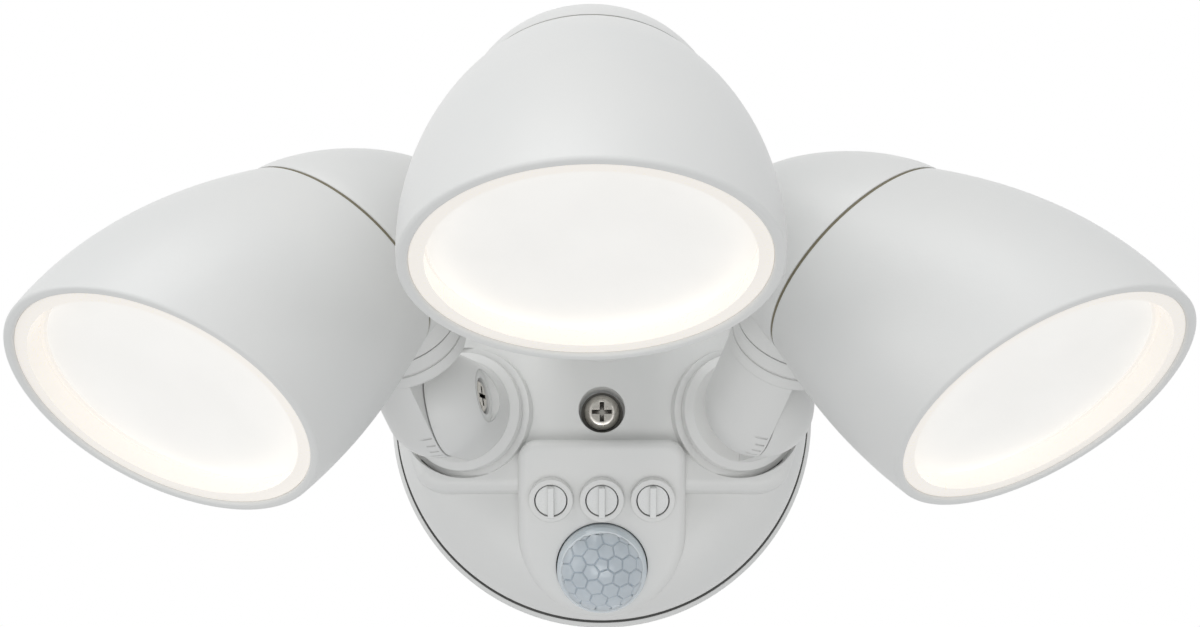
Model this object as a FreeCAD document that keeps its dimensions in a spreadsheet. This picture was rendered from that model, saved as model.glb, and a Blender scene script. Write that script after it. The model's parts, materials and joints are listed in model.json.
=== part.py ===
import FreeCAD
import Part
import Sketcher
import math
import os
import re

# Motion sensor security light: a round wall base with three lamp heads, each on a swivel, a tilt
# hinge and a turning neck, and a sensor pod with an infrared lens and three adjusters.
# Base parts are drawn with x right, y up and z out of the wall, and then stood up against the wall.

os.makedirs("parts", exist_ok=True)
doc = FreeCAD.newDocument("security_light")
V = FreeCAD.Vector

SIZES = [
    # clearances and fits
    ("gap", 0.3), ("run_fit", 0.05), ("seat_gap", 0.1), ("wall_thick", 2.6),
    # back plate and seal
    ("plate_radius", 58), ("plate_floor", 3), ("plate_depth", 8), ("plate_wall", 5),
    ("seal_inset", 2.2), ("seal_width", 2.2), ("seal_height", 1.2),
    ("wall_hole_pitch", 80), ("wall_hole_radius", 2.5), ("wall_hole_sink", 4.8),
    ("cable_drop", 28), ("cable_hole", 10.5), ("cable_bore", 4),
    ("grommet_lip", 12.5), ("grommet_rise", 2),
    # cover
    ("cover_inset", 1.7), ("cover_radius", "=plate_radius - cover_inset"), ("cover_top", 27.5),
    ("cover_round", 17),
    ("hub_top", 33), ("hub_half_width", 52.5), ("hub_low", 24), ("hub_radius", 52.6), ("hub_corner", 13),
    ("hub_round", 3.2),
    # cover screw in the middle
    ("screw_drop", 2.5), ("well_radius", 6.1), ("well_wall", 2.5), ("well_floor", 25.5), ("well_base", 3),
    ("cover_bolt_radius", 2.35), ("cover_bolt_hole", 2.8), ("cover_head_radius", 4.75),
    ("cover_head_height", 2.8), ("washer_radius", 5.5), ("washer_thick", 1), ("post_radius", 5),
    ("recess_width", 1.1), ("recess_depth", 1.5),
    # sockets for the three swivels
    ("side_socket_out", 35.6), ("side_socket_low", 3.2), ("socket_plane", 32), ("side_socket_lean", 14),
    ("side_socket_drop", 1.9), ("socket_radius", 17.2), ("socket_wall", 2.3), ("socket_floor", 4),
    ("socket_deep", 14), ("turret_up", 21.5), ("turret_plane", 62.2), ("turret_root_up", 27.5),
    ("turret_radius", 16.6), ("turret_root_radius", 16),
    # swivel
    ("flange_radius", 15.5), ("flange_rim", 3.4), ("flange_top", 5.2), ("flange_slope", 2),
    ("stem_radius", 8), ("stem_length", 7.6), ("stem_bore", 4.5), ("clip_thick", 1.7),
    ("clip_radius", 11), ("groove_deep", 1), ("hinge_height", 20.1), ("knuckle_radius", 13.3),
    ("knuckle_width", 8), ("knuckle_round", 4),
    ("boss_radius", 6.7), ("boss_reach", 11.1), ("screw_head_radius", 4.6), ("screw_head_deep", 2.6),
    ("bolt_radius", 2.5), ("bolt_reach", 11.5), ("nut_flats", 8), ("nut_thick", 4), ("nut_start", 7.4),
    # arm
    ("arm_radius", 13.5), ("arm_shift", 1), ("arm_length", 25.9),
    ("collar_radius", 13.8), ("collar_height", 8.2),
    ("collar_groove", 0.35), ("spigot_radius", 7), ("spigot_bore", 4.2), ("neck_pad", 9), ("pad_radius", 11),
    ("neck_clip_radius", 9.5), ("tick_depth", 0.35),
    # lamp head
    ("rim_radius", 37.1), ("seam_radius", 27.7), ("hood_length", 48.9), ("hood_drop", 20.3),
    ("hood_lean", 15.3), ("hood_bow", 2.1), ("hood_swell", 3.65), ("head_wall", 2.3),
    ("cap_length", 33), ("cap_drift", 10), ("cap_skew", 0.4), ("cap_power", 1.4),
    ("seam_half", 0.4), ("seam_recess", 0.3), ("neck_out", 29.3), ("neck_back", 9.2), ("neck_lean", 1.3),
    ("rim_round", 0.7), ("bezel_top", 0.9), ("bezel_depth", 5.2), ("bezel_width", 3), ("lens_thick", 2.4),
    ("led_front", 20.8), ("board_thick", 1.6), ("led_board_radius", 25), ("sink_thick", 2.6),
    ("fin_length", 7), ("fin_thick", 1.4),
    # sensor pod
    ("pod_half_width", 21.8), ("pod_top", 11), ("pod_low", 33.9), ("pod_corner", 5), ("pod_tilt", 22),
    ("pod_face_drop", 33), ("pod_face_out", 31.1), ("pod_round", 2.2), ("knob_pitch", 13.2),
    ("knob_up", 7.66), ("knob_radius", 4), ("knob_bottom", 6), ("knob_top", 2.2),
    ("knob_collar_radius", 5.75), ("knob_collar_height", 2.5), ("fin_low", 2.8), ("fin_high", 4.3),
    ("pointer_width", 1.6), ("pointer_down", 4.2), ("pointer_up", 3.9),
    ("pir_drop", 10.9), ("pir_hole", 12), ("pir_flange", 13.5), ("pir_flange_thick", 1.2), ("pir_wall", 0.8),
    ("pir_straight", 3), ("pir_tip", 9.2), ("pir_can_radius", 4.6), ("pir_can_front", 4.4),
    ("sensor_board_front", 10.4), ("sensor_board_half_width", 18), ("sensor_board_up", 13),
    ("sensor_board_down", 17), ("pot_width", 8.6), ("board_post_radius", 1.8),
    # supply board and terminals
    ("driver_width", 50), ("driver_depth", 24), ("driver_low", 8), ("driver_stand", 3),
    ("terminal_width", 20), ("terminal_deep", 10), ("terminal_height", 11), ("terminal_side", 34),
    ("terminal_low", 22),
    # lamp poses as modelled
    ("left_swing", 8.4), ("left_tilt", -40.2), ("left_turn", 147.5),
    ("centre_swing", 2.8), ("centre_tilt", -34.5), ("centre_turn", 178.2),
    ("right_swing", -6.4), ("right_tilt", -38.4), ("right_turn", 216.5), ("side_clock", 74.6),
]

sheet = doc.addObject("Spreadsheet::Sheet", "Sizes")
for row, (alias, number) in enumerate(SIZES, start=1):
    sheet.set("A%d" % row, alias)
    sheet.set("B%d" % row, str(number))
    sheet.setAlias("B%d" % row, alias)
doc.recompute()
ALIASES = [alias for alias, number in SIZES]


def size(alias):
    return float(sheet.get(alias))


def linked(text):
    return re.sub(r"[a-z]+(?:_[a-z]+)+|\bgap\b", lambda word: "Sizes." + word.group(0), str(text))


def bind(obj, prop, text):
    obj.setExpression(prop, linked(text))


def place(obj, at=(0, 0, 0), turn=None):
    if turn:
        obj.Placement = FreeCAD.Placement(V(0, 0, 0), FreeCAD.Rotation(V(*turn[0]), turn[1]))
    for axis, text in zip("xyz", at):
        if str(text) != "0":
            bind(obj, "Placement.Base." + axis, text)
    return obj


def cylinder(name, radius, height, at=(0, 0, 0), turn=None):
    obj = doc.addObject("Part::Cylinder", name)
    bind(obj, "Radius", radius)
    bind(obj, "Height", height)
    return place(obj, at, turn)


def cone(name, low, high, height, at=(0, 0, 0), turn=None):
    obj = doc.addObject("Part::Cone", name)
    bind(obj, "Radius1", low)
    bind(obj, "Radius2", high)
    bind(obj, "Height", height)
    return place(obj, at, turn)


def box(name, length, width, height, at=(0, 0, 0), turn=None):
    obj = doc.addObject("Part::Box", name)
    bind(obj, "Length", length)
    bind(obj, "Width", width)
    bind(obj, "Height", height)
    return place(obj, at, turn)


def ball(name, radius, at=(0, 0, 0)):
    obj = doc.addObject("Part::Sphere", name)
    bind(obj, "Radius", radius)
    return place(obj, at)


def prism(name, flats, height, at=(0, 0, 0), turn=None):
    obj = doc.addObject("Part::Prism", name)
    obj.Polygon = 6
    bind(obj, "Circumradius", "(%s) / 2 / cos(30)" % flats)
    bind(obj, "Height", height)
    return place(obj, at, turn)


def fuse(name, *shapes):
    obj = doc.addObject("Part::MultiFuse", name)
    obj.Shapes = list(shapes)
    obj.Refine = True
    return obj


def cut(name, base, *tools):
    obj = doc.addObject("Part::Cut", name)
    obj.Base = base
    obj.Tool = tools[0] if len(tools) == 1 else fuse(name + "_tools", *tools)
    obj.Refine = True
    return obj


def common(name, one, two):
    obj = doc.addObject("Part::Common", name)
    obj.Base = one
    obj.Tool = two
    obj.Refine = True
    return obj


def made(name, shape, placement=None):
    obj = doc.addObject("Part::Feature", name)
    obj.Shape = shape
    if placement:
        obj.Placement = placement
    return obj


# Pieces drawn in a tilted frame are gathered and stood in their frame as a group.
def grouped(name, placement, *shapes):
    if len(shapes) == 1:
        obj = doc.addObject("Part::Compound", name)
        obj.Links = list(shapes)
    else:
        obj = fuse(name, *shapes)
    obj.Placement = placement
    return obj


def rounded(name, obj, radius, chosen):
    doc.recompute()
    picks = [i + 1 for i, edge in enumerate(obj.Shape.Edges) if chosen(edge)]
    out = doc.addObject("Part::Fillet", name)
    out.Base = obj
    out.Edges = [(i, radius, radius) for i in picks]
    doc.recompute()
    return out


# Turned parts are a closed outline of radius and height pairs, spun once round the upright axis.
def turned(name, points):
    body = doc.addObject("PartDesign::Body", name)
    plane = [f for f in body.Origin.OriginFeatures if f.Role == "XZ_Plane"][0]
    sketch = body.newObject("Sketcher::SketchObject", name + "_outline")
    sketch.AttachmentSupport = [(plane, "")]
    sketch.MapMode = "FlatFace"
    count = len(points)
    ring = []
    for i in range(count):
        angle = math.radians(-80 + 160.0 * i / (count - 1))
        ring.append(V(1 + 30 * math.cos(angle), 30 * math.sin(angle), 0))
    for i in range(count):
        sketch.addGeometry(Part.LineSegment(ring[i], ring[(i + 1) % count]), False)
    for i in range(count):
        sketch.addConstraint(Sketcher.Constraint("Coincident", i, 2, (i + 1) % count, 1))
    for i, (radius, height) in enumerate(points):
        for kind, text, start in (("DistanceX", radius, ring[i].x), ("DistanceY", height, ring[i].y)):
            if str(text) == "0":
                line = -2 if kind == "DistanceX" else -1
                sketch.addConstraint(Sketcher.Constraint("PointOnObject", i, 1, line))
            else:
                index = sketch.addConstraint(Sketcher.Constraint(kind, -1, 1, i, 1, start))
                bind(sketch, "Constraints[%d]" % index, text)
    doc.recompute()
    spin = body.newObject("PartDesign::Revolution", name + "_spin")
    spin.Profile = sketch
    spin.ReferenceAxis = (sketch, ["V_Axis"])
    spin.Angle = 360
    sketch.Visibility = False
    doc.recompute()
    return body


NODES = {}


def node(name, obj, placement=None):
    if placement and [pair for pair in obj.ExpressionEngine if "Placement" in pair[0]]:
        obj = grouped(name + "_stood", placement, obj)
    elif placement:
        obj.Placement = placement.multiply(obj.Placement)
    doc.recompute()
    obj.Label = name
    NODES[name] = obj
    return obj


X_AXIS = (1, 0, 0)
Y_AXIS = (0, 1, 0)
Z_AXIS = (0, 0, 1)
WALL = FreeCAD.Placement(V(0, 0, 0), FreeCAD.Rotation(V(1, 0, 0), 90))


def spun(axis, degrees):
    return FreeCAD.Placement(V(0, 0, 0), FreeCAD.Rotation(V(*axis), degrees))


def shifted(x, y, z):
    return FreeCAD.Placement(V(x, y, z), FreeCAD.Rotation())


# Back plate: moulded disc that screws to the wall, with a raised rim, two sunk screw holes, the cable
# opening and the threaded post that takes the cover screw.
plate = turned("plate_disc", [
    ("0", "0"), ("plate_radius - 0.8", "0"), ("plate_radius", "0.8"), ("plate_radius", "plate_depth - 1"),
    ("plate_radius - 1", "plate_depth"), ("plate_radius - plate_wall", "plate_depth"),
    ("plate_radius - plate_wall", "plate_floor"), ("0", "plate_floor")])
post_top = "well_floor - well_base - gap"
post = cylinder("plate_post", "post_radius", post_top + " - plate_floor / 2",
                ("0", "0 - screw_drop", "plate_floor / 2"))
stands = []
for i, (sx, sy) in enumerate([(-1, 0), (1, 0), (-1, 1), (1, 1)]):
    stands.append(cylinder("plate_stand_%d" % i, "3", "plate_floor / 2 + driver_stand",
                           ("%d * (driver_width / 2 - 4)" % sx,
                            "driver_low + 4 + %d * (driver_depth - 8)" % sy, "plate_floor / 2")))
plate_whole = fuse("plate_whole", plate, post, *stands)
plate_holes = [
    cylinder("plate_post_hole", "cover_bolt_radius + 0.15", "plate_depth + 20",
             ("0", "0 - screw_drop", "plate_floor + 1.5")),
    cylinder("plate_cable_hole", "cable_hole", "plate_floor + 2", ("0", "0 - cable_drop", "-1"))]
for i, side in enumerate((-1, 1)):
    across = "%d * wall_hole_pitch / 2" % side
    plate_holes.append(cylinder("plate_wall_hole_%d" % i, "wall_hole_radius", "plate_floor + 2",
                                (across, "0", "-1")))
    plate_holes.append(cone("plate_wall_sink_%d" % i, "wall_hole_radius", "wall_hole_sink", "1.6",
                            (across, "0", "plate_floor - 1.5")))
node("back_plate", cut("plate_final", plate_whole, *plate_holes), WALL)

# Cover seal: soft ring pressed between the plate rim and the cover, the dark line round the base.
seal_out = "plate_radius - seal_inset"
seal_in = "plate_radius - seal_inset - seal_width"
node("cover_seal", turned("seal_ring", [
    (seal_in, "plate_depth"), (seal_out, "plate_depth"), (seal_out, "plate_depth + seal_height"),
    (seal_in, "plate_depth + seal_height")]), WALL)


# Front cover: one moulding with the domed face, the raised hub, three sockets, the screw well and the
# sensor pod whose face leans down towards the ground.
cover_low = "plate_depth + seal_height"


def dome(name, inset, low):
    base = cylinder(name + "_drum", "cover_radius - (%s)" % inset, "cover_top - (%s) - (%s)" % (inset, low),
                    ("0", "0", low))
    top = size("cover_top") - size("wall_thick") * (inset != "0")
    radius = size("cover_round") - size("wall_thick") * (inset != "0")
    return rounded(name, base, radius, lambda e: e.Vertexes and e.Length > 100
                   and min(v.Z for v in e.Vertexes) > top - 0.01)


def hub(name, inset, low):
    wide = "2 * (hub_half_width - (%s))" % inset
    tall = "hub_radius + hub_low - 2 * (%s)" % inset
    block = box(name + "_block", wide, tall, "hub_top - (%s) - (%s)" % (inset, low),
                ("0 - hub_half_width + (%s)" % inset, "0 - hub_low + (%s)" % inset, low))
    shape = rounded(name + "_corners", block, size("hub_corner") - size("wall_thick") * (inset != "0"),
                    lambda e: abs(e.Vertexes[0].X - e.Vertexes[1].X) < 0.01
                    and abs(e.Vertexes[0].Y - e.Vertexes[1].Y) < 0.01 and e.Vertexes[0].Y < 0)
    disc = cylinder(name + "_disc", "hub_radius - (%s)" % inset, "hub_top", ("0", "0", "0"))
    shape = common(name + "_trim", shape, disc)
    if inset != "0":
        return shape
    top = size("hub_top")
    return rounded(name, shape, size("hub_round"), lambda e: min(v.Z for v in e.Vertexes) > top - 0.01)


POD = FreeCAD.Placement(V(0, -size("pod_face_drop"), size("pod_face_out")),
                        FreeCAD.Rotation(V(1, 0, 0), size("pod_tilt")))


def pod(name, inset, low, below):
    half = "(pod_half_width - (%s))" % inset
    block = box(name + "_block", "2 * " + half, "pod_low - pod_top - (%s)" % inset, "60",
                ("0 - " + half, "0 - pod_low", low))
    corner = size("pod_corner") - size("wall_thick") * (inset != "0")
    block = rounded(name + "_corners", block, corner,
                    lambda e: abs(e.Vertexes[0].X - e.Vertexes[1].X) < 0.01
                    and abs(e.Vertexes[0].Y - e.Vertexes[1].Y) < 0.01
                    and e.Vertexes[0].Y > -size("pod_low") + 1)
    bottom = cylinder(name + "_bottom", half, "60", ("0", "0 - pod_low", low))
    outline = fuse(name + "_outline", block, bottom)
    above = box(name + "_above", "200", "200", "90", ("-100", "-100", "0 - (%s)" % below))
    shape = cut(name + "_lean", outline, grouped(name + "_slope", POD, above))
    if inset != "0":
        return shape
    doc.recompute()
    inverse = POD.inverse()
    return rounded(name, shape, size("pod_round"),
                   lambda e: all(abs(inverse.multVec(v.Point).z) < 0.01 for v in e.Vertexes))


cover_out = fuse("cover_out", dome("dome_out", "0", cover_low), hub("hub_out", "0", "16"),
                 pod("pod_out", "0", "14", "0"))
cover_in = fuse("cover_in", dome("dome_in", "wall_thick", "0"), hub("hub_in", "wall_thick", "14"),
                pod("pod_in", "wall_thick", "12", "wall_thick"))
cover_shell = cut("cover_shell", cover_out, cover_in)


def socket_frame(side):
    if side == 0:
        return shifted(0, size("turret_up"), size("turret_plane"))
    at = shifted(side * size("side_socket_out"), -size("side_socket_low"), size("socket_plane"))
    lean = spun(Y_AXIS, side * size("side_socket_lean"))
    return at.multiply(lean).multiply(spun(X_AXIS, size("side_socket_drop")))


def lofted(circles):
    wires = []
    for radius, placement in circles:
        ring = Part.makeCircle(radius)
        ring.Placement = placement
        wires.append(Part.Wire([ring]))
    return Part.makeLoft(wires, True, False)


adds = []
hollows = []
for label, side in (("left", -1), ("right", 1)):
    tube = cylinder("socket_tube_" + label, "socket_radius", "socket_deep", ("0", "0", "0 - socket_deep"))
    adds.append(grouped("socket_add_" + label, socket_frame(side), tube))
    room = cylinder("socket_room_" + label, "socket_radius - socket_wall", "socket_deep",
                    ("0", "0", "0 - socket_floor - socket_deep"))
    bore = cylinder("socket_bore_" + label, "stem_radius + gap", "socket_floor + 2",
                    ("0", "0", "0 - socket_floor - 1"))
    above = cylinder("socket_top_" + label, "socket_radius", "8", ("0", "0", "0"))
    hollows.append(grouped("socket_cut_" + label, socket_frame(side), room, bore, above))
turret_root = size("hub_top") - size("wall_thick") / 2
turret_high = size("turret_plane")


def turret(name, inset, low, high):
    span = turret_high - turret_root
    circles = []
    for level in (low, (low + high) / 2, high):
        part = (level - turret_root) / span
        up = size("turret_root_up") + (size("turret_up") - size("turret_root_up")) * min(max(part, 0), 1)
        radius = size("turret_root_radius") + (size("turret_radius") - size("turret_root_radius")) * part
        circles.append((radius - inset, shifted(0, up, level)))
    return made(name, lofted(circles))


adds.append(turret("turret_out", 0, turret_root, turret_high))
hollows.append(turret("turret_room", size("socket_wall"), turret_root - size("wall_thick"),
                      turret_high - size("socket_floor")))
turret_bore = cylinder("turret_bore", "stem_radius + gap", "socket_floor + 2",
                       ("0", "0", "0 - socket_floor - 1"))
hollows.append(grouped("turret_cut", socket_frame(0), turret_bore))
well = cylinder("well_tube", "well_radius + well_wall", "hub_top - 1 - well_floor + well_base",
                ("0", "0 - screw_drop", "well_floor - well_base"))
adds.append(well)
hollows.append(cylinder("well_bore", "well_radius", "20", ("0", "0 - screw_drop", "well_floor")))
hollows.append(cylinder("well_hole", "cover_bolt_hole", "20", ("0", "0 - screw_drop", "well_floor - 10")))

pod_adds = []
pod_cuts = [cylinder("pir_opening", "pir_hole", "20", ("0", "0 - pir_drop", "-10")),
            cylinder("pir_seat", "pir_flange + gap", "10 - wall_thick", ("0", "0 - pir_drop", "-10"))]
for label, step in (("sens", -1), ("time", 0), ("lux", 1)):
    across = "%d * knob_pitch" % step
    ring = cylinder("knob_ring_" + label, "knob_collar_radius", "knob_collar_height + wall_thick",
                    (across, "knob_up", "0 - wall_thick"))
    hole = cylinder("knob_hole_" + label, "knob_radius + gap", "20", (across, "knob_up", "-10"))
    pod_adds.append(ring)
    pod_cuts.append(hole)
for i, side in enumerate((-1, 1)):
    stand = cylinder("board_post_%d" % i, "board_post_radius", "sensor_board_front - wall_thick / 2",
                     ("%d * knob_pitch / 2" % side, "sensor_board_up - 2.2", "0 - sensor_board_front"))
    pod_adds.append(stand)
adds.append(grouped("pod_adds", POD, *pod_adds))
hollows.append(grouped("pod_cuts", POD, *pod_cuts))
cover_body = fuse("cover_body", cover_shell, *adds)
cover = cut("cover_final", cover_body, *hollows)
node("front_cover", cover, WALL)


# Cross-recess pan-head screw, drawn with the head standing on z = 0 and the shank below it.
def pan_screw(name, shank, length, head, height, stood):
    drum = cylinder(name + "_drum", head, height)
    doc.recompute()
    top = drum.Shape.BoundBox.ZMax
    cap = rounded(name + "_head", drum, top * 0.7, lambda e: e.Length > 4 and e.Vertexes[0].Z > top - 0.01
                  and len(e.Vertexes) == 1)
    rod = cylinder(name + "_shank", shank, length + " + 0.5", ("0", "0", "0 - (%s)" % length))
    slots = []
    for i, turn in enumerate((0, 90)):
        slot = box("%s_slot_%d" % (name, i), "(%s) * 1.1" % head, "recess_width", "recess_depth + 1",
                   ("0 - (%s) * 0.55" % head, "0 - recess_width / 2", "(%s) - recess_depth" % height))
        slots.append(grouped("%s_turned_%d" % (name, i), spun(Z_AXIS, turn), slot))
    whole = cut(name + "_cut", fuse(name + "_solid", cap, rod), *slots)
    return grouped(name + "_stood", stood, whole)


# Cover screw and its sealing washer at the bottom of the well.
head_seat = size("well_floor") + size("washer_thick")
node("cover_screw", pan_screw("cover_bolt", "cover_bolt_radius",
                              "well_floor + washer_thick - plate_floor - 3",
                              "cover_head_radius", "cover_head_height",
                              shifted(0, -size("screw_drop"), head_seat)), WALL)
washer = turned("washer_ring", [
    ("cover_bolt_radius + run_fit", "0"), ("washer_radius", "0"), ("washer_radius", "washer_thick"),
    ("cover_bolt_radius + run_fit", "washer_thick")])
washer_at = shifted(0, -size("screw_drop"), size("well_floor"))
node("cover_screw_washer", grouped("washer_set", washer_at, washer), WALL)

# Cable grommet: rubber bush in the cable opening of the back plate.
grommet = turned("grommet_ring", [
    ("cable_bore", "0"), ("cable_hole - seat_gap", "0"), ("cable_hole - seat_gap", "plate_floor"),
    ("grommet_lip", "plate_floor"), ("grommet_lip", "plate_floor + grommet_rise"),
    ("cable_bore", "plate_floor + grommet_rise")])
node("cable_grommet", grouped("grommet_set", shifted(0, -size("cable_drop"), 0), grommet), WALL)

# Supply board on four stands, with its transformer, storage capacitor and relay.
board_low = "plate_floor + driver_stand"
board = box("driver_sheet", "driver_width", "driver_depth", "board_thick",
            ("0 - driver_width / 2", "driver_low", board_low))
above = board_low + " + board_thick - 0.2"
driver_bits = [
    box("driver_core", "15", "14", "6.6", ("-7.5", "driver_low + 5", above)),
    cylinder("driver_store", "4", "6.2", ("0 - driver_width / 2 + 12", "driver_low + 12", above)),
    box("driver_relay", "7", "12", "5", ("driver_width / 2 - 16", "driver_low + 6", above))]
node("driver_board", fuse("driver_whole", board, *driver_bits), WALL)

# Terminal block: three ways, each with a wire entry and a screw access from above.
block = box("terminal_body", "terminal_width", "terminal_deep", "terminal_height",
            ("0 - terminal_side", "0 - terminal_low", "plate_floor"))
ways = []
for i in range(3):
    middle = "0 - terminal_side + (%d + 0.5) * terminal_width / 3" % i
    ways.append(cylinder("terminal_screw_%d" % i, "1.9", "terminal_height",
                         (middle, "0 - terminal_low + terminal_deep / 2",
                          "plate_floor + terminal_height - 3")))
    ways.append(box("terminal_entry_%d" % i, "3.6", "terminal_deep / 2", "3.6",
                    (middle + " - 1.8", "0 - terminal_low - 1", "plate_floor + 2.4")))
node("terminal_block", cut("terminal_final", block, *ways), WALL)

# Infrared lens: thin moulded dome with a flange that sits behind the pod wall.
FACE = WALL.multiply(POD)
rise = "(pir_tip - pir_straight)"
skin = "(pir_hole - gap)"
ball_radius = "(%s ^ 2 + %s ^ 2) / 2 / %s" % (skin, rise, rise)
drop = ("0", "0 - pir_drop", "0")


def dome_solid(name, thin, low):
    drum = cylinder(name + "_drum", "%s - %s" % (skin, thin), "pir_straight - (%s)" % low,
                    ("0", "0 - pir_drop", low))
    sphere = ball(name + "_ball", "%s - %s" % (ball_radius, thin),
                  ("0", "0 - pir_drop", "pir_tip - " + ball_radius))
    limit = cylinder(name + "_limit", "%s - %s" % (skin, thin), "20", ("0", "0 - pir_drop", "pir_straight"))
    return fuse(name, drum, common(name + "_top", sphere, limit))


pir_low = "0 - wall_thick - pir_flange_thick"
pir_rim = cylinder("pir_rim", "pir_flange", "pir_flange_thick", ("0", "0 - pir_drop", pir_low))
pir_out = fuse("pir_out", pir_rim, dome_solid("pir_outer", "0", pir_low))
pir_shell = cut("pir_shell", pir_out, dome_solid("pir_inner", "pir_wall", pir_low + " - 1"))
node("pir_lens", pir_shell, FACE)

# Sensor circuit behind the pod: board, infrared sensor can and the three adjustable resistors.
sheet_tall = "sensor_board_up + sensor_board_down"
sheet_low = "0 - sensor_board_front - board_thick"
node("sensor_board", box("sensor_sheet", "2 * sensor_board_half_width", sheet_tall, "board_thick",
                         ("0 - sensor_board_half_width", "0 - sensor_board_down", sheet_low)), FACE)
can = cylinder("pir_can", "pir_can_radius", "sensor_board_front - pir_can_front",
               ("0", "0 - pir_drop", "0 - sensor_board_front"))
can_foot = cylinder("pir_can_foot", "pir_can_radius + 0.6", "0.8",
                    ("0", "0 - pir_drop", "0 - sensor_board_front"))
window = box("pir_window", "4", "3", "2", ("-2", "0 - pir_drop - 1.5", "0 - pir_can_front - 0.5"))
node("pir_sensor", cut("pir_sensor_final", fuse("pir_sensor_body", can, can_foot), window), FACE)
pots = []
for i in (-1, 0, 1):
    pots.append(box("pot_%d" % (i + 1), "pot_width", "pot_width", "sensor_board_front - knob_bottom - gap",
                    ("%d * knob_pitch - pot_width / 2" % i, "knob_up - pot_width / 2",
                     "0 - sensor_board_front")))
node("potentiometers", fuse("pots_set", *pots), FACE)

# Adjuster knobs: a drum in its collar and a raised pointer that reaches past the rim of the collar.
for label, step in (("sens", -1), ("time", 0), ("lux", 1)):
    drum = cylinder("knob_drum_" + label, "knob_radius", "knob_bottom + knob_top",
                    ("0", "0", "0 - knob_bottom"))
    web = box("knob_web_" + label, "pointer_width", "2 * knob_radius - 0.6", "fin_low - knob_top + 0.6",
              ("0 - pointer_width / 2", "0.3 - knob_radius", "knob_top - 0.3"))
    fin = box("knob_fin_" + label, "pointer_width", "pointer_down + pointer_up", "fin_high - fin_low",
              ("0 - pointer_width / 2", "0 - pointer_down", "fin_low"))
    knob = fuse("knob_whole_" + label, drum, web, fin)
    knob_at = shifted(step * size("knob_pitch"), size("knob_up"), 0)
    node(label + "_knob", grouped("knob_set_" + label, knob_at, knob), FACE)


# Lamp heads. The hood and what it holds are drawn from the middle of the rim, the cap from the middle
# of the seam with x towards the neck. The hood is a tapering tube with a bowed centre line.
def hood_circle(part, inset):
    bulge = 4 * part * (1 - part)
    radius = size("rim_radius") + (size("seam_radius") - size("rim_radius")) * part
    radius += size("hood_swell") * bulge
    at = V(0, -size("hood_drop") * part + size("hood_bow") * bulge, -size("hood_length") * part)
    lean = FreeCAD.Rotation(V(1, 0, 0), -size("hood_lean") * part)
    return radius - inset, FreeCAD.Placement(at, lean)


def hood_solid(inset, start, end):
    steps = 8
    return lofted([hood_circle(start + (end - start) * i / steps, inset) for i in range(steps + 1)])


def hood_slab(inset, top, bottom):
    slab = Part.makeBox(200, 200, top - bottom, V(-100, -100, bottom))
    return hood_solid(inset, -0.02, 1).common(slab)


def cap_circle(part, inset, clock):
    radius = (size("seam_radius") - inset) * math.sqrt(1 - abs(part) ** size("cap_power"))
    skew = size("cap_skew")
    drift = size("cap_drift") * (skew * part + (1 - skew) * part * abs(part))
    angle = math.radians(clock)
    at = V(drift * math.cos(angle), -drift * math.sin(angle), -(size("cap_length") - inset) * part)
    return radius, FreeCAD.Placement(at, FreeCAD.Rotation())


def cap_solid(inset, clock):
    wires = []
    for part in (-0.05, 0.07, 0.2, 0.35, 0.52, 0.7, 0.84, 0.93, 0.98):
        radius, placement = cap_circle(part, inset, clock)
        ring = Part.makeCircle(radius)
        ring.Placement = placement
        wires.append(Part.Wire([ring]))
    tip = cap_circle(1, inset, clock)[1].Base
    return Part.makeLoft(wires + [Part.Vertex(tip)], True, False)


def clean(shape):
    whole = shape.removeSplitter()
    solids = sorted(whole.Solids, key=lambda piece: -piece.Volume)
    return solids[0] if len(solids) == 1 else whole


neck_lean = math.radians(size("neck_lean"))
NECK = FreeCAD.Placement(V(size("neck_out"), 0, -size("neck_back")),
                         FreeCAD.Rotation(V(0, -1, 0), V(-math.sin(neck_lean), 0, math.cos(neck_lean)),
                                          V(-math.cos(neck_lean), 0, -math.sin(neck_lean)), "ZXY"))


def rod(radius, low, high, placement=None):
    shape = Part.makeCylinder(radius, high - low, V(0, 0, low))
    if placement:
        shape.Placement = placement.multiply(shape.Placement)
    return shape


def seam_to_rim(clock):
    turn = spun(Z_AXIS, 90 - clock)
    tilt = spun(X_AXIS, size("hood_lean"))
    return turn.multiply(tilt).multiply(shifted(0, size("hood_drop"), size("hood_length")))


EDGE = size("seam_half")
WALL_IN = size("head_wall")
half = size("gap") / 2


def rear_cap(clock):
    outer = cap_solid(0, clock).fuse(rod(size("collar_radius"), half, 9, NECK))
    outer = outer.common(Part.makeBox(200, 200, 100, V(-100, -100, -100 - EDGE)))
    room = cap_solid(WALL_IN, clock).cut(rod(size("pad_radius"), -6, size("neck_pad"), NECK))
    shell = outer.cut(room).cut(rod(size("spigot_radius") + size("gap"), -6, 24, NECK))
    clip_room = size("neck_pad") + size("clip_thick") + 2 * size("gap")
    return clean(shell.cut(rod(size("neck_clip_radius") + size("gap"), size("neck_pad"), clip_room, NECK)))


def front_housing(rim_place):
    shell = hood_solid(0, 0, 1).cut(hood_solid(WALL_IN, -0.03, 1.03))
    seam = rim_place.inverse()
    below = Part.makeBox(200, 200, 100, V(-100, -100, EDGE - 100))
    below.Placement = seam.multiply(below.Placement)
    relief = rod(size("collar_radius") + size("gap"), -14, half, seam.multiply(NECK))
    shell = clean(shell.cut(below).cut(relief))
    rims = [e for e in shell.Edges if all(abs(v.Point.z) < 0.001 for v in e.Vertexes) and e.Length > 60]
    return shell.makeFillet(size("rim_round"), rims)


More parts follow.
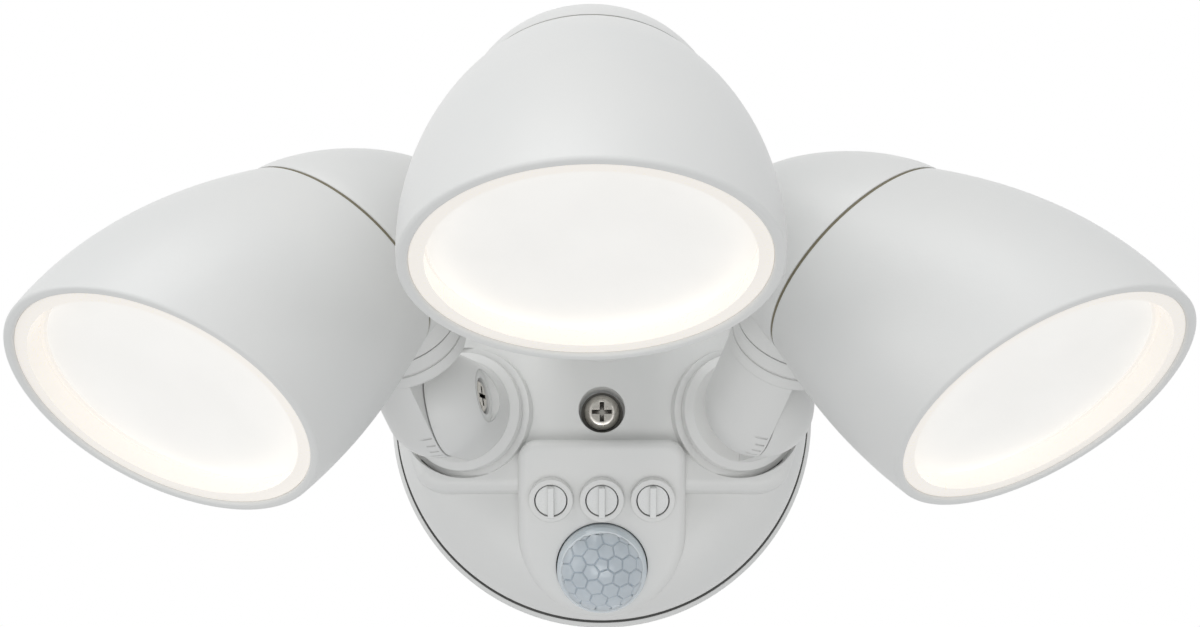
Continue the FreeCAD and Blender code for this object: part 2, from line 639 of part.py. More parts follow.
def seam_gasket():
    out = size("seam_radius") - size("seam_recess")
    return rod(out, -EDGE, EDGE).cut(rod(size("seam_radius") - WALL_IN, -5, 5))


def bezel():
    top = -size("bezel_top")
    low = top - size("bezel_depth")
    ring = hood_slab(WALL_IN + size("seat_gap"), top, low)
    return clean(ring.cut(hood_solid(WALL_IN + size("bezel_width"), -0.03, 1)))


def lens_top():
    return -size("bezel_top") - size("bezel_depth")


def hood_shift(depth):
    part = depth / size("hood_length")
    return -size("hood_drop") * part + size("hood_bow") * 4 * part * (1 - part)


def led_board():
    front = size("led_front")
    low = front + size("board_thick")
    board = Part.makeCylinder(size("led_board_radius"), size("board_thick"), V(0, hood_shift(low), -low))
    for ring, count in ((0.3, 5), (0.72, 11)):
        for i in range(count):
            angle = 2 * math.pi * i / count
            x = ring * size("led_board_radius") * math.cos(angle)
            y = ring * size("led_board_radius") * math.sin(angle) + hood_shift(low)
            board = board.fuse(Part.makeBox(2.8, 2.8, 1.0, V(x - 1.4, y - 1.4, -front - 0.3)))
    return clean(board)


def heat_sink():
    top = -size("led_front") - size("board_thick")
    low = top - size("sink_thick")
    plate = hood_slab(WALL_IN + size("seat_gap"), top, low)
    fins = []
    for i in range(-4, 5):
        fins.append(Part.makeBox(size("fin_thick"), 200, size("fin_length") + 0.5,
                                 V(i * 5.2 - size("fin_thick") / 2, -100, low - size("fin_length"))))
    room = hood_solid(WALL_IN + 2.5, 0, 0.92)
    return clean(plate.fuse([fin.common(room) for fin in fins]))


# Swivel: flange and stem turned in one, with the inner half of the ball knuckle and its screw seat.
clip_low = "0 - socket_floor - gap - clip_thick"
clip_high = "0 - socket_floor - gap"
groove = "stem_radius - groove_deep"


def swivel(label):
    stem = turned("swivel_stem_" + label, [
        ("0", "0 - stem_length"), ("stem_radius - 0.6", "0 - stem_length"),
        ("stem_radius", "0.6 - stem_length"),
        ("stem_radius", clip_low), (groove, clip_low), (groove, clip_high),
        ("stem_radius", clip_high), ("stem_radius", "gap"), ("flange_radius - 0.5", "gap"),
        ("flange_radius", "gap + 0.5"), ("flange_radius", "flange_rim"),
        ("flange_radius - flange_slope", "flange_top"), ("0", "flange_top")])
    drum = cylinder("swivel_drum_" + label, "knuckle_radius", "hinge_height - flange_top + 1",
                    ("0", "0", "flange_top - 1"))
    knob = ball("swivel_ball_" + label, "knuckle_radius", ("0", "0", "hinge_height"))
    split = box("swivel_split_" + label, "60", "60", "60", ("gap / 2", "-30", "flange_top - 1"))
    knuckle = common("swivel_half_" + label, fuse("swivel_lump_" + label, drum, knob), split)
    face = cylinder("swivel_face_" + label, "boss_radius", "20",
                    ("boss_reach", "0", "hinge_height"), (Y_AXIS, 90))
    sink = cylinder("swivel_sink_" + label, "screw_head_radius + seat_gap", "20",
                    ("boss_reach - screw_head_deep", "0", "hinge_height"), (Y_AXIS, 90))
    hole = cylinder("swivel_hole_" + label, "bolt_radius + gap", "40",
                    ("-10", "0", "hinge_height"), (Y_AXIS, 90))
    wire = cylinder("swivel_wire_" + label, "stem_bore", "stem_length + 3",
                    ("0", "0", "0 - stem_length"))
    return cut("swivel_final_" + label, fuse("swivel_body_" + label, stem, knuckle), face, sink, hole, wire)


def lamp_arm(label):
    low = "arm_length - collar_height"
    top = "arm_length - gap / 2"
    line = "arm_length - 4.4"
    seat = "arm_length + neck_pad + gap"
    inner = "spigot_radius - groove_deep"
    collar = turned("arm_collar_" + label, [
        ("spigot_bore", low), ("collar_radius - 0.8", low), ("collar_radius", low + " + 0.8"),
        ("collar_radius", line), ("collar_radius - collar_groove", line),
        ("collar_radius - collar_groove", line + " + 0.5"), ("collar_radius", line + " + 0.5"),
        ("collar_radius", top), ("spigot_radius", top), ("spigot_radius", seat), (inner, seat),
        (inner, seat + " + clip_thick"), ("spigot_radius", seat + " + clip_thick"),
        ("spigot_radius", seat + " + clip_thick + 1.4"), ("spigot_bore", seat + " + clip_thick + 1.4")])
    collar = grouped("arm_collar_set_" + label, shifted(-size("arm_shift"), 0, 0), collar)
    drum = cylinder("arm_drum_" + label, "arm_radius", low + " + 0.5", ("0 - arm_shift", "0", "0"))
    knob = ball("arm_ball_" + label, "arm_radius", ("0 - arm_shift", "0", "0"))
    split = box("arm_split_" + label, "60", "60", "60", ("0 - 60 - gap / 2", "-30", "-20"))
    tongue = common("arm_half_" + label, fuse("arm_lump_" + label, drum, knob), split)
    hole = cylinder("arm_hole_" + label, "bolt_radius + gap", "bolt_reach + 1",
                    ("0 - bolt_reach - 1", "0", "0"), (Y_AXIS, 90))
    pocket = grouped("arm_pocket_" + label, spun(Y_AXIS, 90),
                     prism("arm_hex_" + label, "nut_flats + 2 * seat_gap", "nut_thick + 2 * seat_gap",
                           ("0", "0", "0 - nut_start - nut_thick - seat_gap")))
    marks = []
    for i in range(7):
        reach = "3.4" if i % 3 == 0 else "2.2"
        mark = box("arm_mark_%s_%d" % (label, i), reach, "2", "0.5",
                   ("0 - %s - gap / 2 - 0.6" % reach, "0 - arm_radius - 2 + tick_depth", "-0.25"))
        marks.append(grouped("arm_tick_%s_%d" % (label, i), spun(X_AXIS, -4 + 11 * i), mark))
    body = fuse("arm_body_" + label, collar, tongue)
    return cut("arm_final_" + label, body, hole, pocket, *marks)


def clip_ring(name, inner, outer, low):
    high = low + " + clip_thick"
    return turned(name, [(inner, low), (outer, low), (outer, high), (inner, high)])


LAMPS = [("left", -1), ("centre", 0), ("right", 1)]
for label, side in LAMPS:
    socket = WALL.multiply(socket_frame(side))
    swivel_at = socket.multiply(spun(Z_AXIS, size(label + "_swing")))
    arm_at = swivel_at.multiply(shifted(0, 0, size("hinge_height")))
    arm_at = arm_at.multiply(spun(X_AXIS, size(label + "_tilt")))
    neck_at = arm_at.multiply(shifted(-size("arm_shift"), 0, size("arm_length")))
    neck_at = neck_at.multiply(spun(Z_AXIS, size(label + "_turn")))
    seam_at = neck_at.multiply(NECK.inverse())
    clock = size("side_clock") * side
    rim_at = seam_at.multiply(seam_to_rim(clock))

    node(label + "_swivel_base", swivel(label), swivel_at)
    node(label + "_swivel_clip",
         clip_ring("swivel_clip_" + label, groove + " + run_fit", "clip_radius", clip_low), swivel_at)
    screw_at = shifted(size("boss_reach") - size("screw_head_deep"), 0, size("hinge_height"))
    screw_at = screw_at.multiply(spun(Y_AXIS, 90))
    node(label + "_clamp_screw", pan_screw("clamp_bolt_" + label, "bolt_radius",
                                           "boss_reach - screw_head_deep + bolt_reach", "screw_head_radius",
                                           "screw_head_deep - 0.2", screw_at), swivel_at)
    node(label + "_lamp_arm", lamp_arm(label), arm_at)
    nut = cut("nut_body_" + label,
              prism("nut_hex_" + label, "nut_flats", "nut_thick", ("0", "0", "0 - nut_start - nut_thick")),
              cylinder("nut_bore_" + label, "bolt_radius + run_fit", "20", ("0", "0", "-20")))
    node(label + "_clamp_nut", grouped("nut_set_" + label, spun(Y_AXIS, 90), nut), arm_at)
    node(label + "_neck_clip", clip_ring("neck_clip_" + label, "spigot_radius - groove_deep + run_fit",
                                         "neck_clip_radius", "arm_length + neck_pad + gap"),
         arm_at.multiply(shifted(-size("arm_shift"), 0, 0)))
    node(label + "_rear_cap", made("cap_" + label, rear_cap(clock)), seam_at)
    node(label + "_seam_gasket", made("gasket_" + label, seam_gasket()), seam_at)
    node(label + "_front_housing", made("housing_" + label, front_housing(seam_to_rim(clock))), rim_at)
    node(label + "_bezel", made("bezel_" + label, bezel()), rim_at)
    top = lens_top()
    node(label + "_lens", made("lens_" + label, hood_slab(WALL_IN + size("seat_gap"), top,
                                                          top - size("lens_thick"))), rim_at)
    node(label + "_led_board", made("led_" + label, led_board()), rim_at)
    node(label + "_heat_sink", made("sink_" + label, heat_sink()), rim_at)
    print(label, "socket", socket.Base, "swing axis", socket.Rotation.multVec(V(0, 0, 1)))
    print(label, "hinge", arm_at.Base, "axis", arm_at.Rotation.multVec(V(1, 0, 0)))
    print(label, "neck", neck_at.Base, "axis", neck_at.Rotation.multVec(V(0, 0, 1)), "rim", rim_at.Base)

for label, step in (("sens", -1), ("time", 0), ("lux", 1)):
    knob_middle = FACE.multVec(V(step * size("knob_pitch"), size("knob_up"), 0))
    print(label, "knob", knob_middle, FACE.Rotation.multVec(V(0, 0, 1)))

# Every object is checked before anything is written.
doc.recompute()
for item in doc.Objects:
    if "Invalid" in item.State or "Error" in item.State:
        raise ValueError("object not computed: " + item.Name)
for name, item in NODES.items():
    shape = item.Shape
    if shape.isNull() or not shape.isValid() or not shape.Solids:
        raise ValueError("shape not sound: " + name)
for name, item in NODES.items():
    item.Shape.exportStep("parts/%s.step" % name)
    print(name, len(item.Shape.Solids), round(item.Shape.Volume))
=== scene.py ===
import json
import math

import bpy
from mathutils import Matrix, Vector


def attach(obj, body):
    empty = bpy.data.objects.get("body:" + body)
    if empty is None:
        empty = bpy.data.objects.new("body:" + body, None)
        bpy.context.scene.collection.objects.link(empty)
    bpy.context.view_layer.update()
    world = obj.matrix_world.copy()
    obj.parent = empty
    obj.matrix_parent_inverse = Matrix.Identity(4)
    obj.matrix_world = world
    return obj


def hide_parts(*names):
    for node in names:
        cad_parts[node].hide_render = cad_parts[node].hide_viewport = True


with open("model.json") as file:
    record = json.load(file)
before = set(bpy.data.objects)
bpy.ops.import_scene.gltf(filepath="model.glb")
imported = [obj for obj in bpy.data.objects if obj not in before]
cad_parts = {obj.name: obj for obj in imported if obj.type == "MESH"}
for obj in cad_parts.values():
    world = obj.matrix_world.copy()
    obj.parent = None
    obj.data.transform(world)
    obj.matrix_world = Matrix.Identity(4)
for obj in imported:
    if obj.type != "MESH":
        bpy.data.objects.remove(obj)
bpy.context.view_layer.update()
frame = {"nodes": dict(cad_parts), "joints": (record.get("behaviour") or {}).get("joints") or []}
nodes = frame["nodes"]
scene = bpy.context.scene

# ---------------------------------------------------------------------------------------------
# Camera and studio. The photograph looks up at the light from a little below its base, with even
# white light all round, a soft key above and in front, and a pure white ground behind.
CAMERA_AT = (-0.0005, -0.5013, -0.0736)
LOOK_UP = math.radians(11.69)
LENS_MM = 54.0
SENSOR_MM = 36.0
LIGHTS_AIM = (0, -0.08, 0)
GLOW_TINT = (0.97, 0.985, 1.0, 1)
GLOW_STRENGTH = 0.49
camera_data = bpy.data.cameras.new("camera")
camera_data.lens = LENS_MM
camera_data.sensor_width = SENSOR_MM
camera_data.clip_start = 0.01
camera = bpy.data.objects.new("camera", camera_data)
camera.location = CAMERA_AT
camera.rotation_euler = (math.radians(90) + LOOK_UP, 0, 0)
scene.collection.objects.link(camera)
scene.camera = camera
scene.view_settings.view_transform = "Standard"
scene.view_settings.look = "None"


def studio_light(name, at, size, power):
    data = bpy.data.lights.new(name, "AREA")
    data.shape = "RECTANGLE"
    data.size = size[0]
    data.size_y = size[1]
    data.energy = power
    lamp = bpy.data.objects.new(name, data)
    lamp.location = at
    lamp.rotation_euler = (Vector(LIGHTS_AIM) - Vector(at)).to_track_quat("-Z", "Y").to_euler()
    scene.collection.objects.link(lamp)


studio_light("key", (-0.25, -0.75, 0.95), (0.9, 0.7), 4.8)
studio_light("fill_left", (-1.0, -0.6, 0.1), (0.6, 0.9), 1.8)
studio_light("fill_right", (1.0, -0.6, 0.2), (0.6, 0.9), 1.1)
studio_light("low_front", (0.0, -0.9, -0.5), (0.9, 0.4), 2.3)

# The camera, mirror and clear rays see a white ground; a dimmer, slightly blue glow lights the rest.
world = bpy.data.worlds.new("studio")
scene.world = world
world.use_nodes = True
world_nodes = world.node_tree.nodes
world_links = world.node_tree.links
world_nodes.clear()
ray = world_nodes.new("ShaderNodeLightPath")


def either(one, two):
    node = world_nodes.new("ShaderNodeMath")
    node.operation = "MAXIMUM"
    world_links.new(one, node.inputs[0])
    world_links.new(two, node.inputs[1])
    return node.outputs[0]


def background(colour, strength):
    node = world_nodes.new("ShaderNodeBackground")
    node.inputs["Color"].default_value = colour
    node.inputs["Strength"].default_value = strength
    return node.outputs[0]


seen = either(either(ray.outputs["Is Camera Ray"], ray.outputs["Is Glossy Ray"]),
              ray.outputs["Is Transmission Ray"])
ground = world_nodes.new("ShaderNodeMixShader")
world_links.new(seen, ground.inputs["Fac"])
world_links.new(background(GLOW_TINT, GLOW_STRENGTH), ground.inputs[1])
world_links.new(background((1, 1, 1, 1), 1.0), ground.inputs[2])
world_links.new(ground.outputs[0], world_nodes.new("ShaderNodeOutputWorld").inputs["Surface"])


# ---------------------------------------------------------------------------------------------
# Moulded shell: satin white plastic with the fine even grain of a textured mould and a faint, wide
# unevenness of tone. Base, swivels, arms, caps and hoods are all moulded in it.
def new_material(name):
    mat = bpy.data.materials.new(name)
    mat.use_nodes = True
    tree = mat.node_tree
    tree.nodes.clear()
    out = tree.nodes.new("ShaderNodeOutputMaterial")
    shader = tree.nodes.new("ShaderNodeBsdfPrincipled")
    tree.links.new(shader.outputs[0], out.inputs["Surface"])
    coords = tree.nodes.new("ShaderNodeTexCoord")
    return mat, tree, shader, coords


def noise(tree, coords, scale, detail=3.0, rough=0.5, stretch=None):
    tex = tree.nodes.new("ShaderNodeTexNoise")
    tex.inputs["Scale"].default_value = scale
    tex.inputs["Detail"].default_value = detail
    tex.inputs["Roughness"].default_value = rough
    if stretch:
        mapping = tree.nodes.new("ShaderNodeMapping")
        mapping.inputs["Scale"].default_value = stretch
        tree.links.new(coords.outputs["Object"], mapping.inputs["Vector"])
        tree.links.new(mapping.outputs[0], tex.inputs["Vector"])
    else:
        tree.links.new(coords.outputs["Object"], tex.inputs["Vector"])
    return tex


def ramp(tree, source, low, high, start=0.35, end=0.65):
    node = tree.nodes.new("ShaderNodeMapRange")
    node.inputs["From Min"].default_value = start
    node.inputs["From Max"].default_value = end
    node.inputs["To Min"].default_value = low
    node.inputs["To Max"].default_value = high
    tree.links.new(source, node.inputs["Value"])
    return node.outputs["Result"]


def mix_colour(tree, factor, one, two):
    node = tree.nodes.new("ShaderNodeMix")
    node.data_type = "RGBA"
    tree.links.new(factor, node.inputs["Factor"])
    node.inputs["A"].default_value = (*one, 1)
    node.inputs["B"].default_value = (*two, 1)
    return node.outputs["Result"]


def bumped(tree, shader, height, strength, distance, edge=0.0):
    bump = tree.nodes.new("ShaderNodeBump")
    bump.inputs["Strength"].default_value = strength
    bump.inputs["Distance"].default_value = distance
    tree.links.new(height, bump.inputs["Height"])
    if edge:
        soft = tree.nodes.new("ShaderNodeBevel")
        soft.samples = 4
        soft.inputs["Radius"].default_value = edge
        tree.links.new(soft.outputs[0], bump.inputs["Normal"])
    tree.links.new(bump.outputs[0], shader.inputs["Normal"])


CLOUD_SCALE = 22.0
GRAIN_DEPTH = 0.0002


def moulded(name, colour, shade, roughness, grain_scale, grain, edge=0.0004):
    mat, tree, shader, coords = new_material(name)
    cloud = noise(tree, coords, CLOUD_SCALE, 4.0)
    fine = noise(tree, coords, grain_scale, 2.0, 0.6)
    uneven = ramp(tree, cloud.outputs["Fac"], 0.0, 1.0)
    tree.links.new(mix_colour(tree, uneven, colour, shade), shader.inputs["Base Color"])
    tree.links.new(ramp(tree, fine.outputs["Fac"], roughness - 0.05, roughness + 0.07),
                   shader.inputs["Roughness"])
    bumped(tree, shader, fine.outputs["Fac"], grain, GRAIN_DEPTH, edge)
    return mat


# dress covers the named nodes; per_lamp names the same part on all three lamps.
def dress(names, mat):
    for name in names:
        for held in nodes[name].material_slots:
            held.material = mat


SIDES = ("left", "centre", "right")


def per_lamp(*parts):
    return ["%s_%s" % (side, part) for side in SIDES for part in parts]


shell = moulded("shell_white", (0.80, 0.80, 0.785), (0.775, 0.78, 0.77), 0.42, 1900.0, 0.08)
dress(["front_cover", "back_plate"], shell)
dress(per_lamp("swivel_base", "lamp_arm", "rear_cap", "front_housing"), shell)

# ---------------------------------------------------------------------------------------------
# Adjuster knobs: three small mouldings of the same white, a little glossier than the shell. Each one
# turns in its own hole in the pod, in front of its trimmer.
knob_white = moulded("knob_white", (0.82, 0.825, 0.815), (0.78, 0.79, 0.785), 0.30, 2600.0, 0.05, 0.0003)
dress(["sens_knob", "time_knob", "lux_knob"], knob_white)

# ---------------------------------------------------------------------------------------------
# Bezel and diffuser: a satin warm white ring, with a painted warm glow standing in for light on its shaded
# inner wall, holds the frosted diffuser, which glows evenly and warmly.
RING_PAINTED_GLOW_TINT = (1.0, 0.93, 0.84, 1)
RING_PAINTED_GLOW = 0.27
DIFFUSER_TINT = (1.0, 0.985, 0.95, 1)
DIFFUSER_GLOW = 0.30
bezel_white = moulded("bezel_white", (0.86, 0.83, 0.79), (0.83, 0.80, 0.76), 0.3, 1400.0, 0.02, 0)
# Painted glow: the bezel ring, and the diffuser bands made in its material, give out a weak warm light of
# their own.
ring_painted_glow = bezel_white.node_tree.nodes["Principled BSDF"]
ring_painted_glow.inputs["Emission Color"].default_value = RING_PAINTED_GLOW_TINT
ring_painted_glow.inputs["Emission Strength"].default_value = RING_PAINTED_GLOW
dress(per_lamp("bezel"), bezel_white)
glow, tree, shader, coords = new_material("diffuser_glow")
patch = noise(tree, coords, 60.0, 2.0)
frost = noise(tree, coords, 2400.0, 2.0)
cloudy = ramp(tree, patch.outputs["Fac"], 0, 1)
tree.links.new(mix_colour(tree, cloudy, (0.82, 0.81, 0.79), (0.79, 0.78, 0.76)),
               shader.inputs["Base Color"])
tree.links.new(ramp(tree, frost.outputs["Fac"], 0.5, 0.65), shader.inputs["Roughness"])
shader.inputs["Emission Color"].default_value = DIFFUSER_TINT
shader.inputs["Emission Strength"].default_value = DIFFUSER_GLOW
bumped(tree, shader, frost.outputs["Fac"], 0.05, 0.0001)
dress(per_lamp("lens"), glow)


# ---------------------------------------------------------------------------------------------
# Metal parts: brushed stainless screws, plated nuts, darker spring steel clips, the can of the sensor
# and the cast plates behind the light boards. Painted shade from an occlusion mask darkens the bottom of
# each recess.
CREVICE_REACH = 0.0016
CREVICE_PAINTED_SHADE = (0.05, 0.045, 0.04)
CREVICE_DARK = 0.45
CREVICE_CLEAR = 0.8
BRUSH_STRENGTH = 0.12
BRUSH_DEPTH = 0.0001
BRUSH_EDGE = 0.0003


def metal(name, colour, shade, roughness, scale, stretch=None):
    mat, tree, shader, coords = new_material(name)
    brushed = noise(tree, coords, scale, 4.0, 0.6, stretch)
    polish = mix_colour(tree, ramp(tree, brushed.outputs["Fac"], 0, 1), colour, shade)
    # Painted shade: the occlusion mask turns each recess towards a near-black colour.
    crevice = tree.nodes.new("ShaderNodeAmbientOcclusion")
    crevice.samples = 8
    crevice.inputs["Distance"].default_value = CREVICE_REACH
    crevice_painted_shade = tree.nodes.new("ShaderNodeMix")
    crevice_painted_shade.data_type = "RGBA"
    crevice_painted_shade.inputs["A"].default_value = (*CREVICE_PAINTED_SHADE, 1)
    tree.links.new(ramp(tree, crevice.outputs["AO"], 0, 1, CREVICE_DARK, CREVICE_CLEAR),
                   crevice_painted_shade.inputs["Factor"])
    tree.links.new(polish, crevice_painted_shade.inputs["B"])
    tree.links.new(crevice_painted_shade.outputs["Result"], shader.inputs["Base Color"])
    tree.links.new(ramp(tree, brushed.outputs["Fac"], roughness - 0.06, roughness + 0.1),
                   shader.inputs["Roughness"])
    shader.inputs["Metallic"].default_value = 1.0
    bumped(tree, shader, brushed.outputs["Fac"], BRUSH_STRENGTH, BRUSH_DEPTH, BRUSH_EDGE)
    return mat


dress(["cover_screw"] + per_lamp("clamp_screw"),
      metal("stainless", (0.80, 0.77, 0.72), (0.62, 0.59, 0.54), 0.2, 900.0, (1, 6, 1)))
dress(per_lamp("clamp_nut"), metal("zinc_plate", (0.62, 0.62, 0.60), (0.5, 0.5, 0.48), 0.35, 700.0))
dress(per_lamp("swivel_clip", "neck_clip"),
      metal("spring_steel", (0.30, 0.30, 0.31), (0.2, 0.2, 0.2), 0.4, 800.0))
dress(["pir_sensor"], metal("sensor_can", (0.6, 0.6, 0.58), (0.5, 0.5, 0.48), 0.3, 600.0))
dress(per_lamp("heat_sink"), metal("cast_aluminium", (0.66, 0.67, 0.68), (0.5, 0.51, 0.52), 0.45, 500.0))

# ---------------------------------------------------------------------------------------------
# Seals and soft parts: olive seam gaskets, black cover seal and cable bush in rubber, and a grey
# washer under the cover screw.
dress(per_lamp("seam_gasket"),
      moulded("gasket_olive", (0.24, 0.215, 0.15), (0.2, 0.18, 0.12), 0.7, 1200.0, 0.2, 0))
rubber = moulded("rubber_black", (0.035, 0.035, 0.033), (0.05, 0.05, 0.047), 0.65, 1500.0, 0.25, 0)
dress(["cover_seal", "cable_grommet"], rubber)
dress(["cover_screw_washer"],
      moulded("washer_grey", (0.2, 0.195, 0.175), (0.16, 0.155, 0.14), 0.6, 1500.0, 0.15, 0))

# ---------------------------------------------------------------------------------------------
# Inside parts: green circuit boards, white light boards, a grey terminal block and blue trimmers,
# all hidden by the cover and the hoods.
dress(["driver_board", "sensor_board"],
      moulded("circuit_green", (0.02, 0.12, 0.05), (0.03, 0.16, 0.07), 0.35, 900.0, 0.15, 0))
dress(per_lamp("led_board"),
      moulded("light_board", (0.8, 0.8, 0.78), (0.74, 0.74, 0.72), 0.3, 900.0, 0.1, 0))
dress(["terminal_block"],
      moulded("terminal_grey", (0.55, 0.55, 0.53), (0.5, 0.5, 0.48), 0.5, 1200.0, 0.1, 0))
dress(["potentiometers"], moulded("trimmer_blue", (0.03, 0.1, 0.35), (0.02, 0.08, 0.3), 0.4, 1200.0, 0.1, 0))

# ---------------------------------------------------------------------------------------------
# Infrared lens: a thin milky polyethylene moulding, held behind the pod wall by its flange. A smooth
# skirt carries a dome of five- and six-sided lens cells, each a little pillow with a groove round it.
KNOB_TO_LENS = 0.01856
SKIN_RADIUS = 0.0117
SKIRT_TOP = 0.003
SKIRT_FOOT = -0.0026
SKIRT_WALL = 0.0008
DOME_TOP = 0.0092
DOME_RISE = DOME_TOP - SKIRT_TOP
DOME_RADIUS = (SKIN_RADIUS ** 2 + DOME_RISE ** 2) / (2 * DOME_RISE)
CELLS_RADIUS = 0.0109
SHOULDER_RINGS = (0.01155, 0.0113, 0.0111, CELLS_RADIUS)
CELLS_BALL = DOME_RADIUS - 0.0002
CELLS_TURN = math.radians(14)
CELL_STEPS = ((0.00008, -0.0001), (0.00022, 0.00034), (0.00060, 0.00014))
CELL_CROWN = 0.00006
time_joint = next(joint for joint in frame["joints"] if joint["name"] == "time_adjust")
pod_out = Vector(time_joint["axis"]).normalized()
pod_up = pod_out.cross(Vector((1, 0, 0)))
pod_turn = Matrix((Vector((1, 0, 0)), pod_up, pod_out)).transposed().to_4x4()
LENS_FRAME = Matrix.Translation(Vector(time_joint["pos_m"]) - pod_up * KNOB_TO_LENS) @ pod_turn


def edit_all(piece):
    bpy.ops.object.select_all(action="DESELECT")
    piece.select_set(True)
    bpy.context.view_layer.objects.active = piece
    bpy.ops.object.mode_set(mode="EDIT")
    bpy.ops.mesh.select_all(action="SELECT")


def choose(piece, kind, wanted):
    bpy.ops.mesh.select_all(action="DESELECT")
    bpy.ops.mesh.select_mode(type=kind)
    bpy.ops.object.mode_set(mode="OBJECT")
    parts = piece.data.vertices if kind == "VERT" else piece.data.edges
    for part in parts:
        part.select = wanted(part)
    bpy.ops.object.mode_set(mode="EDIT")


def settle(piece, name, where, body, mat, crease=30):
    bpy.ops.mesh.select_all(action="SELECT")
    bpy.ops.mesh.remove_doubles(threshold=0.000002)
    bpy.ops.mesh.normals_make_consistent(inside=False)
    bpy.ops.object.mode_set(mode="OBJECT")
    piece.name = name
    piece.data.transform(where)
    piece.data.materials.clear()
    piece.data.materials.append(mat)
    bpy.ops.object.shade_smooth_by_angle(angle=math.radians(crease))
    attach(piece, body)
    return piece


def turned_ring(rings, corners=96):
    radius, height = rings[0]
    bpy.ops.object.select_all(action="DESELECT")
    bpy.ops.mesh.primitive_circle_add(vertices=corners, radius=radius)
    piece = bpy.context.object
    edit_all(piece)
    bpy.ops.transform.translate(value=(0, 0, height))
    for next_radius, next_height in rings[1:] + rings[:1]:
        bpy.ops.mesh.extrude_region_move(TRANSFORM_OT_translate={"value": (0, 0, next_height - height)})
        scale = next_radius / radius
        bpy.ops.transform.resize(value=(scale, scale, 1), center_override=(0, 0, 0))
        radius, height = next_radius, next_height
    return piece


def milky(name, clear, dense):
    mat, tree, shader, coords = new_material(name)
    cloud = noise(tree, coords, 160.0, 3.0)
    fine = noise(tree, coords, 2200.0, 2.0)
    tree.links.new(mix_colour(tree, ramp(tree, cloud.outputs["Fac"], 0, 1), clear, dense),
                   shader.inputs["Base Color"])
    tree.links.new(ramp(tree, fine.outputs["Fac"], 0.16, 0.24), shader.inputs["Roughness"])
    shader.inputs["Subsurface Weight"].default_value = 0.35
    shader.inputs["Subsurface Radius"].default_value = (0.9, 1.0, 1.1)
    shader.inputs["Subsurface Scale"].default_value = 0.0015
    shader.inputs["Coat Weight"].default_value = 0.25
    bumped(tree, shader, fine.outputs["Fac"], 0.05, 0.0001)
    return mat


pir_cell_mat = milky("pir_cells_milky", (0.60, 0.655, 0.70), (0.52, 0.575, 0.62))
pir_skirt_mat = milky("pir_skirt_milky", (0.66, 0.715, 0.75), (0.60, 0.66, 0.70))


def on_dome(radius, sink=0.0):
    return (radius - sink, math.sqrt(DOME_RADIUS ** 2 - radius ** 2) - DOME_RADIUS + DOME_TOP - sink)


skirt = turned_ring([
    (SKIN_RADIUS - SKIRT_WALL, SKIRT_FOOT), (SKIN_RADIUS, SKIRT_FOOT), (SKIN_RADIUS, 0.0),
    (SKIN_RADIUS, SKIRT_TOP - 0.0002), *[on_dome(ring) for ring in SHOULDER_RINGS],
    on_dome(0.0106, 0.0003), (SKIN_RADIUS - 0.0014, SKIRT_TOP)])
settle(skirt, "pir_skirt", LENS_FRAME, "base", pir_skirt_mat)

bpy.ops.object.select_all(action="DESELECT")
bpy.ops.mesh.primitive_ico_sphere_add(subdivisions=3, radius=CELLS_BALL)
cells = bpy.context.object
corners = len(cells.data.vertices)
edit_all(cells)
bpy.ops.mesh.poke()
choose(cells, "EDGE", lambda edge: max(edge.vertices) < corners)
bpy.ops.mesh.edge_rotate()
choose(cells, "VERT", lambda vertex: vertex.index < corners)
bpy.ops.mesh.dissolve_verts()
bpy.ops.mesh.select_mode(type="FACE")
bpy.ops.mesh.select_all(action="SELECT")
bpy.ops.transform.rotate(value=CELLS_TURN, orient_axis="X", center_override=(0, 0, 0))
for inward, rise in CELL_STEPS:
    bpy.ops.mesh.inset(thickness=inward, depth=rise, use_individual=True)
bpy.ops.mesh.poke(offset=CELL_CROWN)
bpy.ops.mesh.select_mode(type="VERT")
bpy.ops.mesh.select_all(action="SELECT")
cut_level = math.sqrt(DOME_RADIUS ** 2 - CELLS_RADIUS ** 2)
bpy.ops.mesh.bisect(plane_co=(0, 0, cut_level), plane_no=(0, 0, 1), clear_inner=True, use_fill=True)
cells = settle(cells, "pir_cells", LENS_FRAME @ Matrix.Translation((0, 0, DOME_TOP - DOME_RADIUS)),
               "base", pir_cell_mat, 24)
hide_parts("pir_lens")
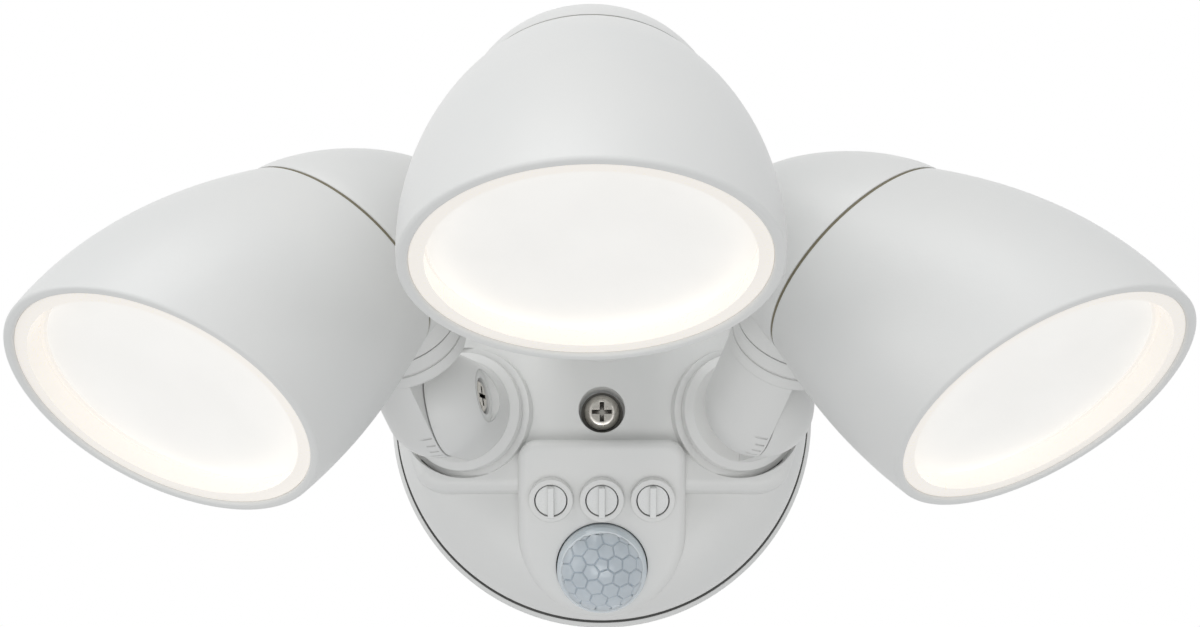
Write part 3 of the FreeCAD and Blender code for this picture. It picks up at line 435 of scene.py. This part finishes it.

# ---------------------------------------------------------------------------------------------
# Diffuser bands: each diffuser has a slightly raised outer band, a little warmer and darker than the
# glowing middle, next to the bezel, made in the bezel material with its painted warm glow.
BAND_WIDTH = 0.0042
BAND_RISE = 0.0005
BAND_GAP = 0.0002


def disc_frame(node):
    corners = [node.matrix_world @ vertex.co for vertex in node.data.vertices]
    widest = max(node.data.polygons, key=lambda face: face.area)
    out = (node.matrix_world.to_3x3() @ widest.normal).normalized()
    if out.y > 0:
        out = -out
    middle = sum(corners, Vector()) / len(corners)
    along = [(corner - middle).dot(out) for corner in corners]
    radius = max((corner - middle - out * step).length for corner, step in zip(corners, along))
    front = middle + out * max(along)
    side = out.cross(Vector((0, 0, 1))).normalized()
    turn = Matrix((side, out.cross(side), out)).transposed().to_4x4()
    return Matrix.Translation(front) @ turn, radius


for side in SIDES:
    where, radius = disc_frame(nodes[side + "_lens"])
    inner = radius - BAND_WIDTH
    outer = radius - BAND_GAP
    band = turned_ring([
        (inner, 0), (outer, 0), (outer, BAND_RISE),
        (inner + BAND_RISE, BAND_RISE), (inner + BAND_GAP / 2, BAND_RISE / 2)])
    # The band takes the bezel material, painted warm glow included.
    settle(band, side + "_diffuser_band", where, side + "_head", bezel_white)

# ---------------------------------------------------------------------------------------------
# Shadow ring: a thin dark ring in the black rubber, between the plate and the cover, standing a little
# out past the cover's edge as a painted shadow in the gap, seen as a dark line round the base.
PLATE_FACE = 0.008
COVER_LOW = 0.0092
COVER_EDGE = 0.0563
GAP_RING_SHOWN = 0.0006
GAP_RING_ROUND = 0.0004
GAP_RING_INNER = COVER_EDGE - 0.0008
GAP_RING_CORNERS = 192
OUT_OF_WALL = Matrix(((1, 0, 0), (0, 0, -1), (0, 1, 0))).to_4x4()
# Painted shadow: a dark ring fills the gap between plate and cover.
shadow_ring = turned_ring([
    (GAP_RING_INNER, PLATE_FACE), (COVER_EDGE + GAP_RING_SHOWN, PLATE_FACE),
    (COVER_EDGE + GAP_RING_SHOWN, COVER_LOW - GAP_RING_ROUND), (COVER_EDGE + GAP_RING_SHOWN / 2, COVER_LOW),
    (GAP_RING_INNER, COVER_LOW)], GAP_RING_CORNERS)
settle(shadow_ring, "painted_shadow_ring", OUT_OF_WALL, "base", rubber)
